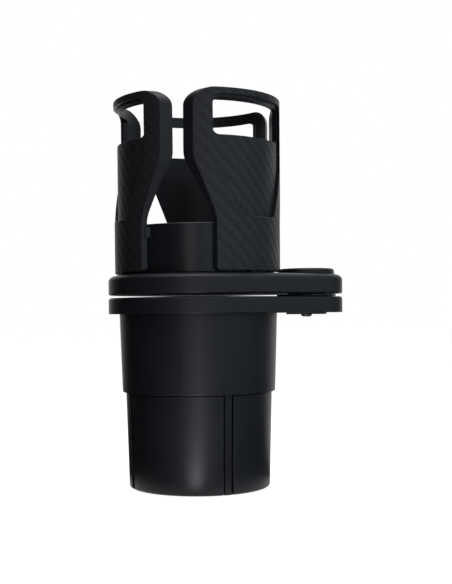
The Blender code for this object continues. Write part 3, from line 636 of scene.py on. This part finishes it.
def blackened_steel(slot, rgb):
    """Blackened screw steel with a patchy sheen."""
    tree = Tree(bpy.data.materials.new(OWN_NAMES[slot]))
    patches = tree.noise(tree.place(), 900.0, 3.0)
    tree.principled(
        Base_Color=tree.blend(patches, opaque(rgb, 0.7), opaque(rgb, 1.3)),
        Roughness=0.30 + 0.18 * patches,
        Normal=tree.bump(patches, 0.3, 0.00003),
        Metallic=1.0,
    )


def make_finishes(finish):
    """Makes the part's materials, unless they are there already."""
    if OWN_NAMES[SATIN] not in bpy.data.materials:
        moulded_plastic(SATIN, finish.satin, finish.gloss, 0.43, 0.000035)
        moulded_plastic(INNER, finish.inner, finish.gloss, 0.30, 0.000006)
        twill_plastic(TWILL, finish.weave_dark, finish.upright_tow_sheen, finish.gloss)
        moulded_plastic(ACETAL, finish.acetal, 0.4, 0.38, 0.000006)
        blackened_steel(STEEL, finish.steel)


# Pieces


class HolderSettings(bpy.types.PropertyGroup):
    """All sizes and colours of the cup holder."""

    plate: PointerProperty(type=PlateSizes)
    base: PointerProperty(type=BaseSizes)
    petal: PointerProperty(type=PetalSizes)
    finish: PointerProperty(type=Finish)
    stage: PointerProperty(type=StageSizes)


class PieceOperator:
    """What the operators share."""

    bl_options = {"REGISTER", "UNDO"}

    def execute(self, context):
        settings = context.scene.cup_holder
        make_finishes(settings.finish)
        self.build(settings)
        return {"FINISHED"}


class CUP_OT_base_shell(PieceOperator, bpy.types.Operator):
    """Make the flange, stepped cup and ribs as one surface, with the boss under the ear"""

    bl_idname = "cup.base_shell"
    bl_label = "Base shell"

    def build(self, settings):
        base, plate = settings.base, settings.plate
        lift, top = heights("base_shell")
        low, skin = top - base.flange_height, top - FLANGE_SKIN
        core, bore, mouth = CORE_RADIUS, CORE_RADIUS - CORE_WALL, base.top_radius - BASE_WALL
        inside = plate.radius - FLANGE_SKIN
        rib_high, rib_low = base.jaw_top - RIB_RECESS, base.jaw_bottom - RIB_RECESS

        def profile(rib, wall_low):
            """From the middle of the cup's floor, over the rim, and back under the cup's bay."""
            return rounded([
                (0, FLOOR_HIGH, 0), (bore, FLOOR_HIGH, 1.0 * MM), (bore, base.shelf_height, 0.6 * MM),
                (base.step_radius - BASE_WALL, base.shelf_height, 1.2 * MM), (mouth, low, 8.0 * MM),
                (mouth, top, 0.9 * MM), (plate.radius, top, base.flange_edge, 1),
                (plate.radius, low, 0.4 * MM, 1), (inside, low, 0.3 * MM, 1),
                (inside, skin, 0.8 * MM, 1), (base.top_radius, skin, 0.6 * MM),
                (base.step_radius, base.step_height, 0.6 * MM),
                (rib_high if rib else core, base.step_height, 0.2 * MM),
                (rib_low, lift, 0.3 * MM) if rib else (core, wall_low, 0),
                (core, lift if rib else wall_low, 0), (core, wall_low, 0), (bore, wall_low, 0.2 * MM),
                (bore, FLOOR_LOW, 0.2 * MM), (0, FLOOR_LOW, 0),
            ])

        half = base.strip / 2 - base.rib_slack
        slope = 0.3 * MM / base.jaw_bottom
        ribs = [angle + math.pi / len(JAW_ANGLES) for angle in JAW_ANGLES]
        foot_half = (FOOT_WIDTH / 2 + GAP) / core
        bends = np.concatenate([edge_columns(ribs, half, slope), edge_columns(JAW_ANGLES, foot_half, slope)])
        angles = plan_angles(settings.stage.samples_round, bends)
        kinds = ((False, CORE_LOW), (True, CORE_LOW), (False, FLOOR_LOW - 0.1 * MM))
        plain, ribbed, notched = [plan_grid(*profile(*kind), plate, angles, CUP_AXIS) for kind in kinds]
        rib_share = np.sqrt(np.clip(ramped(angles, ribs, half, slope), 0, 1))
        notch = ramped(angles, JAW_ANGLES, foot_half, slope)
        shell = Patch(plain * (1 - rib_share - notch) + ribbed * rib_share + notched * notch)
        boss_low = low - EAR_BOSS_DROP
        head = half_width("pivot_screw") + GAP
        boss = rounded([
            (0, low + 0.2 * MM, 0), (head, low + 0.2 * MM, 0), (head, boss_low, 0.2 * MM),
            (EAR_BOSS, boss_low, 0.4 * MM), (EAR_BOSS, skin + 0.1 * MM, 0),
            (0, skin + 0.1 * MM, 0),
        ])[0]
        surface("base_moulding", [shell, Patch(revolved(boss, PIVOT, 72))], "base", "base_shell", SATIN)


class CUP_OT_grip_jaws(PieceOperator, bpy.types.Operator):
    """Make the four quarters of the gripping sleeve, each with its foot"""

    bl_idname = "cup.grip_jaws"
    bl_label = "Grip jaws"

    def build(self, settings):
        base = settings.base
        low, high = heights(JAWS[0])
        inner = base.jaw_bottom - JAW_WALL
        half = math.pi / len(JAWS) - base.strip / 2
        turn = np.linspace(0, math.pi / 2, 6)
        inset = JAW_EDGE * (1 - np.sin(turn))
        start = JAW_EDGE * (1 - np.cos(turn)) / base.jaw_bottom
        angles = np.concatenate([-half + start, np.linspace(-half, half, 44)[2:-2], half - start[::-1]])

        def ring(shrink):
            """The jaw's section, drawn in on all sides by the same amount."""
            return rounded([
                (inner + shrink, low + shrink, 0.3 * MM),
                (base.jaw_bottom - shrink, low + shrink, base.jaw_round),
                (base.jaw_top - shrink, high - shrink, 0.25 * MM),
                (inner + shrink, high - shrink, 0.2 * MM),
            ], closed=True)[0]

        sections = np.stack([ring(shrink) for shrink in (*inset, *np.zeros(40), *inset[::-1])], 1)
        ends = np.broadcast_to(sections.mean(0), sections.shape)
        sections = np.concatenate([ends[:, :1], sections, ends[:, -1:]], 1)
        angles = np.pad(angles, 1, "edge")
        width = FOOT_WIDTH / 2
        foot = box_section(-width, width, FOOT_LOW, FOOT_HIGH, 0.4 * MM)[0]
        for number, (node, centre) in enumerate(zip(JAWS, JAW_ANGLES), 1):
            flat = sections[..., 0, None] * directions(angles + centre)[None] + (CUP_AXIS, 0.0)
            wall = Patch(np.concatenate([flat, sections[..., 1, None]], -1), True, False)
            foot_bar = bar(foot, FOOT_END, inner + JAW_WALL / 2, centre)
            surface(f"jaw_moulding_{number}", [wall, foot_bar], f"jaw_{number}", node, SATIN)


class CUP_OT_base_bottom(PieceOperator, bpy.types.Operator):
    """Make the base cover and its screws, and finish the dial in it"""

    bl_idname = "cup.base_bottom"
    bl_label = "Base cover, dial and screws"

    def build(self, settings):
        low, high = heights("base_cover")
        near = DIAL_RADIUS + GAP
        radii = (0.3 * MM, 0.7 * MM, 0.2 * MM, 0.2 * MM)
        section = box_section(near, half_width("base_cover"), low, high, radii)[0]
        ring = Patch(revolved(section, CUP_AXIS, 144), loop_rows=True)
        cover = surface("base_cover_moulding", [ring], "base", "base_cover", SATIN)
        screw_down(cover, numbered("base_screw_"), "cover_screw", "base", low)
        refinished("jaw_scroll", ACETAL)


class CUP_OT_swivel(PieceOperator, bpy.types.Operator):
    """Make the cap with its spindle, the screw below it and the washer between the ears"""

    bl_idname = "cup.swivel"
    bl_label = "Swivel"

    def build(self, settings):
        plate = settings.plate
        low, high = heights("hub_cap")
        seat = heights("upper_plate")[1] - CAP_SEAT + GAP
        rim = high - plate.cap_dome
        share = np.linspace(1, 0, 14)
        dome = np.stack([(plate.cap_radius - 3.0 * MM) * share, rim + plate.cap_dome * (1 - share**2)], -1)
        stem = rounded([
            (0, low, 0), (BORE - GAP, low, 0.3 * MM), (BORE - GAP, seat, 0),
            (plate.cap_radius, seat, 0.25 * MM), (plate.cap_radius, rim, plate.cap_round),
            (*dome[0], 0),
        ])[0]
        cap = Patch(revolved(np.concatenate([stem, dome[1:]]), PIVOT, 120))
        surface("swivel_cap", [cap], "base", "hub_cap", SATIN)
        surface("swivel_screw", [screw_patch("pivot_screw", 1.9 * MM)], "base", "pivot_screw", STEEL)
        radii = (0.15 * MM, 0.25 * MM, 0.25 * MM, 0.15 * MM)
        section = box_section(BORE, half_width("glide_washer"), *heights("glide_washer"), radii)[0]
        washer = Patch(revolved(section, PIVOT, 120), loop_rows=True)
        surface("swivel_washer", [washer], "base", "glide_washer", ACETAL)


class CUP_OT_upper_plate(PieceOperator, bpy.types.Operator):
    """Make the upper plate with its rolled shoulder, its cover and the cover's screws"""

    bl_idname = "cup.upper_plate"
    bl_label = "Upper plate"

    def build(self, settings):
        plate = settings.plate
        low, high = heights("upper_plate")
        skin, seat = high - plate.skin, high - CAP_SEAT
        turn = np.linspace(math.pi / 2, 0, 12)
        shoulder_reach = plate.radius - plate.shoulder_width * (1 - np.cos(turn))
        shoulder = np.stack([shoulder_reach, high - plate.shoulder_height * (1 - np.sin(turn))], -1)
        under, under_marks = rounded([
            (plate.radius, high - plate.shoulder_height - 0.5 * MM, 0, 1),
            (plate.radius, low, LOWER_EDGE, 1), (plate.radius - plate.skin, low, 0.3 * MM, 1),
            (plate.radius - plate.skin, skin, 0.8 * MM, 1), (BOSS_RADIUS, skin, 0.5 * MM),
            (BOSS_RADIUS, low, 0.3 * MM), (BORE, low, 0.2 * MM), (BORE, seat, 0),
            (plate.cap_radius + GAP, seat, 0), (plate.cap_radius + GAP, high - 0.25 * MM, 0),
            (plate.cap_radius + GAP + 0.25 * MM, high, 0),
        ])
        profile = np.concatenate([shoulder, under])
        marks = np.concatenate([np.ones(len(shoulder)), under_marks])
        angles = plan_angles(settings.stage.samples_round)
        cover_low, cover_high = heights("plate_cover")
        hub = cylinder(HUB_RADIUS, cover_high + GAP, skin + 0.1 * MM)
        top = Patch(plan_grid(profile, marks, plate, angles, PIVOT), loop_rows=True)
        surface("plate_moulding", [top, Patch(revolved(hub, CUP_AXIS, 96))], "upper", "upper_plate", SATIN)

        near, far = BOSS_RADIUS + GAP, plate.radius - (plate.skin + GAP)
        radii = (0.3 * MM, 0.4 * MM, 0.2 * MM, 0.2 * MM)
        section = box_section(near, far, cover_low, cover_high, radii, (0, 1, 1, 0))
        sheet = Patch(plan_grid(*section, plate, angles, PIVOT), loop_rows=True)
        cover = surface("plate_cover_moulding", [sheet], "upper", "plate_cover", SATIN)
        screw_down(cover, numbered("plate_screw_"), "plate_cover_screw", "upper", cover_low)


class CUP_OT_inner_cup(PieceOperator, bpy.types.Operator):
    """Make the shallow cup, with a notch for each petal's arm"""

    bl_idname = "cup.inner_cup"
    bl_label = "Inner cup"

    def build(self, settings):
        radius = settings.plate.cup_radius
        low, high = heights("inner_cup")
        bore = radius - CUP_WALL
        raised = low + NOTCH_HEIGHT

        def profile(foot):
            return rounded([
                (0, raised + CUP_FLOOR, 0), (bore, raised + CUP_FLOOR, 1.5 * MM),
                (bore, high, 0.6 * MM), (radius, high, 0.6 * MM), (radius, foot, 0.3 * MM),
                (bore, foot, 0), (bore, raised + 0.01 * MM, 0),
                (CUP_FOOT_RADIUS, raised + 0.01 * MM, 0), (CUP_FOOT_RADIUS, low, 0.2 * MM), (0, low, 0),
            ])[0]

        half = math.asin(NOTCH_WIDTH / 2 / radius)
        slope = 0.02 * MM / radius
        bends = edge_columns(PETAL_ANGLES, half, slope)
        angles = np.unique(np.concatenate([np.arange(160) * TAU / 160, bends % TAU]))
        share = ramped(angles, PETAL_ANGLES, half, slope)
        plain, notched = [turned(profile(foot), angles, CUP_AXIS) for foot in (low, raised)]
        wall = Patch(plain * (1 - share) + notched * share)
        surface("inner_cup_moulding", [wall], "upper", "inner_cup", INNER)


def spread(corners, counts):
    """A closed outline from its right half: rounded corners, with evenly spaced points on each
    straight run between them."""
    whole = corners + [(-y, z, radius) for y, z, radius in reversed(corners)]
    arcs = rounded(whole, 8, closed=True)[0].reshape(len(whole), 9, 2)
    parts = []
    for arc, after, count in zip(arcs, np.roll(arcs, -1, 0), counts):
        share = np.arange(1, count)[:, None] / count
        parts += [arc, arc[-1] + (after[0] - arc[-1]) * share]
    return np.concatenate(parts)


def rows_between(outer, inner, first, last, count):
    """Rows of points from one outline to another, their distance to the nearer rounding and their
    depth. At a rounding of radius e the face lies e (1 - sin t) deeper, e (1 - cos t) from its edge."""
    turn = np.linspace(0, math.pi / 2, 5)
    in_plan, deeper = 1 - np.cos(turn), 1 - np.sin(turn)
    gap = np.hypot(*(inner - outer).T)
    way = (inner - outer) / gap[:, None]
    share = np.linspace(0, 1, count + 2)[1:-1, None]
    near, far = (first * in_plan)[:, None], (last * in_plan[::-1])[:, None]
    distance = np.concatenate([near + 0 * gap, (gap - first - last) * share + first, gap - far])
    depth = np.concatenate([first * deeper, np.zeros(count), last * deeper[::-1]])
    margin = np.minimum(distance - first, gap - distance - last)
    return outer + way * distance[..., None], margin, depth[:, None]


def slab(front, back, tows, loop_columns, first, last):
    """What Patch takes for a front and a back face. All rows are plain plastic but the front's, less
    its first and last few."""
    uv = np.concatenate([tows, np.zeros(back.shape[:2] + (2,))])
    plain = [1] * first + [0] * (len(front) - first - last) + [1] * (last + len(back))
    return np.concatenate([front, back[::-1]]), True, loop_columns, plain, uv


class PetalShape:
    """One petal about the cups' axis, centred on +X: half widths y and heights z in the drawing
    direction, from which the faces' x follows as sqrt(R^2 - y^2)."""

    def __init__(self, petal, low, high):
        self.petal = petal
        self.low = low
        self.high = high
        self.field_half = petal.window_half + BORDER

    def frame_outlines(self):
        """The petal's outer outline and that of its sunk field, point by point alike."""
        petal, low, half = self.petal, self.low, self.field_half
        foot, knee, bend = low + petal.panel_low, low + petal.flare_high, 0.35
        bend_half = petal.panel_half + (half - petal.panel_half) * bend
        outer = [
            (petal.band_half, low, FOOT_ROUND),
            (petal.band_half, low + petal.flare_low, petal.flare_round),
            (petal.crown_half, knee, petal.flare_round),
            (petal.crown_half, self.high, petal.crown_round),
        ]
        inner = [
            (petal.panel_half, foot, 2.0 * MM),
            (bend_half, foot + (petal.flare_high - petal.panel_low) * bend, 0.0),
            (half, knee, PANEL_ROUND),
            (half, low + petal.window_high + BORDER, petal.window_round + BORDER),
        ]
        counts = [50, 50, 90, 150, 90, 50, 50, 70]
        return spread(outer, counts), spread(inner, counts)

    def border_outlines(self):
        """The outer outline of the sunk border, inside the frame and the panel, and the window."""
        petal, half, bend = self.petal, self.petal.window_half, self.petal.window_round
        bottom, top = self.low + petal.window_low, self.low + petal.window_high
        reach = BORDER + BURIED
        outer = [(half + reach, bottom - LAP, 0.5 * MM), (half + reach, top + reach, bend + reach)]
        counts = [48, 110, 48, 110]
        return spread(outer, counts), spread([(half, bottom, bend), (half, top, bend)], counts)

    def face(self, flat, depth, back=False):
        """Points of the outer or inner face at (y, z), moved in by the depth."""
        petal = self.petal
        y, z = flat[..., 0], flat[..., 1]
        share = (z - self.low) / (self.high - self.low)
        radius = petal.bottom_radius + (petal.top_radius - petal.bottom_radius) * share
        if back:
            share = (z - self.low - petal.flare_low) / (petal.flare_high - petal.flare_low)
            radius = radius - (petal.band_wall + (petal.wall - petal.band_wall) * np.clip(share, 0, 1))
        x = np.sqrt(np.maximum(radius**2 - y**2, 0.0)) + (depth if back else -depth)
        return np.stack([x, y, z], -1)

    def embossed(self, flat, depth, fade):
        """Points of the outer face, moved out along their radius by the twill's height, and their tow
        coordinates: the arc round the petal and the height over its lower edge, in tow widths."""
        points = self.face(flat, depth)
        radius = np.hypot(points[..., 0], points[..., 1])
        arc = radius * np.arctan2(points[..., 1], points[..., 0])
        tows = np.stack([arc, points[..., 2] - self.low], -1) / self.petal.tow + 64.0
        rise = self.petal.relief * (twill_height(tows[..., 0], tows[..., 1]) - 0.5) * fade
        points[..., :2] *= (1 + rise / radius)[..., None]
        return points, tows

    def ring(self, outlines, count, near_edge, sunk):
        """A closed ring between two outlines: along the front face and back along the inner face."""
        petal = self.petal
        outer, inner = outlines
        far_edge = 0.25 * MM if sunk else EDGE
        flat, margin, depth = rows_between(outer, inner, near_edge, far_edge, count)
        edges, back_depth = (BACK_EDGE, UNROUNDED), 0.0
        if sunk:
            lap = np.clip((self.low + petal.window_low - LAP + FADE - flat[..., 1]) / FADE, 0, 1)
            depth = depth + sunk + 0.03 * MM * lap
            edges, back_depth = (UNROUNDED, BACK_EDGE), 0.02 * MM
            bend = self.low + petal.window_high - petal.window_round
            under = np.clip((inner[:, 1, None] - bend) / petal.window_round, 0, 1)
            inner = inner - WINDOW_SLOPE * under * (0, 1)
        front, tows = self.embossed(flat, depth, np.clip(margin / (0.7 * MM), 0, 1))
        flat, _, depth = rows_between(outer, inner, *edges, 6)
        return slab(front, self.face(flat, depth + back_depth, back=True), tows, True, 3, 4)

    def panel(self):
        """The sunk panel under the window as a closed slab, whose sides and lower end lie inside the
        frame and whose upper end lies inside the border."""
        petal, low = self.petal, self.low
        across = np.concatenate([[-1.0], np.linspace(-0.999, 0.999, 117), [1.0]])
        z = np.linspace(low + petal.panel_low - BURIED, low + petal.window_low - LAP + FADE, 84)[:, None]
        share = (z - low - petal.panel_low) / (petal.flare_high - petal.panel_low)
        half = petal.panel_half + (self.field_half - petal.panel_half) * np.clip(share, 0, 1)
        y = across[None] * (half + BURIED)
        flat = np.stack([y, np.broadcast_to(z, y.shape)], -1)
        front, tows = self.embossed(flat, petal.recess, 1.0)
        back = self.face(flat, 0.03 * MM, back=True)
        ends = ((front + back) / 2)[:, [0, -1]]
        front[:, [0, -1]] = ends
        back[:, [0, -1]] = ends
        return slab(front, back, tows, False, 0, 1)

    def lug(self, cup_radius, angle):
        """Small guide lug on the petal's left side face, beside the cup's rim and clear of it."""
        petal, low = self.petal, self.low + LUG_PLACE
        corner = math.sqrt((petal.bottom_radius - petal.band_wall) ** 2 - petal.band_half**2)
        near, far = petal.band_half - petal.band_wall / 2, petal.band_half + LUG_WIDTH
        section = box_section(near, far, low, low + LUG_HEIGHT, 0.25 * MM)[0]
        clear = np.sqrt((cup_radius + 0.3 * MM) ** 2 - section[:, 0] ** 2)
        return bar(section, np.maximum(corner - LUG_REACH, clear), corner + petal.band_wall / 2, angle, 1)


class CUP_OT_petals(PieceOperator, bpy.types.Operator):
    """Make the three petals: frame, sunk panel, twill relief, arm and pin"""

    bl_idname = "cup.petals"
    bl_label = "Petals"

    def build(self, settings):
        petal = settings.petal
        pin_low, high = heights(PETALS[0])
        arm_low = heights("inner_cup")[0]
        shape = PetalShape(petal, high - PETAL_HEIGHT, high)
        moulded = [
            shape.ring(shape.frame_outlines(), 46, EDGE, 0.0),
            shape.ring(shape.border_outlines(), 9, UNROUNDED, petal.recess),
            shape.panel(),
        ]
        width, inner_end = ARM_WIDTH / 2, petal.bottom_radius - petal.band_wall / 2
        arm = box_section(-width, width, arm_low, arm_low + 1.5 * MM, 0.3 * MM)[0]
        pin = revolved(cylinder(PIN_RADIUS, pin_low, arm_low + 1.0 * MM), PIN_PLACE, 40)
        for number, (node, angle) in enumerate(zip(PETALS, PETAL_ANGLES), 1):
            patches = [Patch(about_axis(points, angle), *rest) for points, *rest in moulded]
            patches += [
                bar(arm, ARM_END, inner_end, angle, 1),
                Patch(about_axis(pin, angle), rows_finish=1),
                shape.lug(settings.plate.cup_radius, angle),
            ]
            name, body = f"petal_moulding_{number}", f"claw_{number}"
            surface(name, patches, body, node, TWILL, SATIN, sharp=50.0)


class CUP_OT_inner_works(PieceOperator, bpy.types.Operator):
    """Finish the scroll, keepers and screws that the plate hides"""

    bl_idname = "cup.inner_works"
    bl_label = "Inner works"

    def build(self, settings):
        for node in ("petal_scroll", *numbered("petal_keeper_")):
            refinished(node, ACETAL)
        for node in numbered("cup_screw_"):
            refinished(node, STEEL)


# Studio


def softbox(name, spot, aim, size, watts, tint):
    """A rectangular lamp of that width and height, at a spot, facing the aim."""
    lamp = bpy.data.lights.new(name, "AREA")
    lamp.shape = "RECTANGLE"
    lamp.size, lamp.size_y = size
    lamp.energy = watts
    lamp.color = tint
    obj = linked(name, lamp)
    obj.location = spot
    obj.rotation_euler = (Vector(aim) - Vector(spot)).to_track_quat("-Z", "Y").to_euler()
    obj.visible_camera = False


def seen_white(tree):
    """1 for camera, glossy and transmission rays, 0 for the rest."""
    kinds = ("Is Camera Ray", "Is Glossy Ray", "Is Transmission Ray")
    camera, glossy, transmission = [tree.node("LightPath", output=kind) for kind in kinds]
    return (camera + glossy + transmission).clamped()


def card(name, points, material, standing):
    """A sheet that only mirrored rays meet, from a grid of points. A standing one also holds off the
    world's light."""
    sheet = linked(name, grid_mesh(name, points))
    sheet.data.materials.append(material)
    sheet.visible_camera = sheet.visible_diffuse = sheet.visible_transmission = False
    sheet.visible_shadow = standing


class CUP_OT_stage(PieceOperator, bpy.types.Operator):
    """Set the pale floor, the soft lamps, the dark cards round the front, and the camera"""

    bl_idname = "cup.stage"
    bl_label = "Stage"

    def build(self, settings):
        stage, scene = settings.stage, bpy.context.scene
        scene.view_settings.view_transform = "Standard"
        self.world(scene)
        self.floor()
        self.cards()
        self.lamps()
        camera = linked("camera", bpy.data.cameras.new("camera"))
        scene.camera = camera
        camera.location = (CUP_AXIS, -stage.distance, stage.eye)
        camera.rotation_euler = (math.pi / 2, stage.roll, 0)
        camera.data.lens = camera.data.sensor_width * stage.distance / (PHOTO_HEIGHT * stage.scale)
        camera.data.shift_x = (PHOTO_WIDTH / 2 - stage.axis_column) / PHOTO_HEIGHT
        camera.data.shift_y = (stage.eye_row - PHOTO_HEIGHT / 2) / PHOTO_HEIGHT

    def world(self, scene):
        """White where it is seen or mirrored, and a soft grey as a source of light."""
        scene.world = bpy.data.worlds.new("studio")
        tree = Tree(scene.world)
        white = tree.node("Background", {}, {"Color": (1.0, 1.0, 1.0, 1.0)})
        fill = tree.node("Background", {}, {"Color": (0.97, 0.985, 1.0, 1.0), "Strength": 0.1})
        mix = tree.node("MixShader", {}, {0: seen_white(tree), 1: fill, 2: white})
        tree.feed(tree.nodes["World Output"].inputs["Surface"], mix)

    def floor(self):
        """Pale floor that takes the part's shadow, and is white where it is seen or mirrored."""
        half, low = 6.0, -0.0002
        corners = np.array([[(x, y, low) for x in (-half, half)] for y in (-half, half)])
        floor = linked("floor", grid_mesh("floor", corners))
        tree = Tree(bpy.data.materials.new("pale_floor"))
        tree.principled(Base_Color=(0.86, 0.86, 0.86, 1.0), Roughness=0.9, Specular_IOR_Level=0.0)
        paint = Socket(tree, tree.nodes["Principled BSDF"].outputs[0])
        glow = tree.node("Emission", {}, {"Strength": 3.75})
        both = tree.node("MixShader", {}, {0: 0.25 * seen_white(tree), 1: paint, 2: glow})
        tree.feed(tree.nodes["Material Output"].inputs["Surface"], both)
        floor.data.materials.append(tree.owner)

    def cards(self):
        """Dark cards about the camera, standing and lying, that keep the front and left dark."""
        tree = Tree(bpy.data.materials.new("dark_card"))
        tree.principled(Base_Color=(0.02, 0.02, 0.02, 1.0), Roughness=1.0, Specular_IOR_Level=0.0)
        angles = np.radians(np.linspace(-153.0, 130.0, 49))
        standing, lying = np.array([[(0.75, 0.0), (0.75, 1.1)], [(0.045, 0.0008), (0.75, 0.0008)]])
        card("card_standing", turned(standing, angles - math.pi / 2, CUP_AXIS), tree.owner, True)
        card("card_lying", turned(lying, angles - math.pi / 2, CUP_AXIS), tree.owner, False)

    def lamps(self):
        """Softboxes: above, two strips on the floor in front, large ones on the right, and small ones
        in front and behind on the left."""
        aim = (CUP_AXIS, 0.0, 0.09)
        softbox("lamp_top", (0.03, -0.22, 0.62), aim, (0.16, 0.30), 0.40, PALE)
        for name, far, width, watts in (("near", -0.13, 0.008, 0.060), ("far", -0.46, 0.050, 0.42)):
            spot = (CUP_AXIS - 0.004, far, 0.002)
            softbox(f"lamp_floor_{name}", spot, (spot[0], far, 1.0), (width, -1.3 * far), watts, PALE)
        softbox("lamp_right", (0.335, -0.37, 0.22), aim, (0.80, 0.70), 1.55, BLUISH)
        softbox("lamp_side", (0.50, 0.09, 0.22), aim, (0.48, 0.70), 0.35, BLUISH)
        softbox("lamp_front", (-0.13, -0.67, 0.25), aim, (0.14, 0.40), 0.34, PALE)
        softbox("lamp_left", (-0.33, 0.51, 0.20), aim, (0.24, 0.50), 0.26, PALE)
        softbox("lamp_over", (0.0, -0.06, 0.78), aim, (0.60, 0.30), 2.0, PALE)


OPERATORS = (
    CUP_OT_base_shell,
    CUP_OT_grip_jaws,
    CUP_OT_base_bottom,
    CUP_OT_swivel,
    CUP_OT_upper_plate,
    CUP_OT_inner_cup,
    CUP_OT_petals,
    CUP_OT_inner_works,
    CUP_OT_stage,
)
GROUPS = (PlateSizes, BaseSizes, PetalSizes, Finish, StageSizes, HolderSettings)


class CUP_PT_panel(bpy.types.Panel):
    """Lists the operators in the order in which they run"""

    bl_label = "Cup Holder"
    bl_idname = "CUP_PT_panel"
    bl_space_type = "VIEW_3D"
    bl_region_type = "UI"
    bl_category = "Cup Holder"

    def draw(self, context):
        for operator in OPERATORS:
            self.layout.operator(operator.bl_idname)
        for group in HolderSettings.__annotations__:
            sizes = getattr(context.scene.cup_holder, group)
            box = self.layout.box()
            for name in sizes.__annotations__:
                box.prop(sizes, name)


CLASSES = (*GROUPS, *OPERATORS, CUP_PT_panel)


def register():
    for cls in CLASSES:
        bpy.utils.register_class(cls)
    bpy.types.Scene.cup_holder = PointerProperty(type=HolderSettings)


def unregister():
    del bpy.types.Scene.cup_holder
    for cls in reversed(CLASSES):
        bpy.utils.unregister_class(cls)


def main():
    register()
    for operator in OPERATORS:
        group, name = operator.bl_idname.split(".")
        getattr(getattr(bpy.ops, group), name)()


if __name__ == "__main__":
    main()
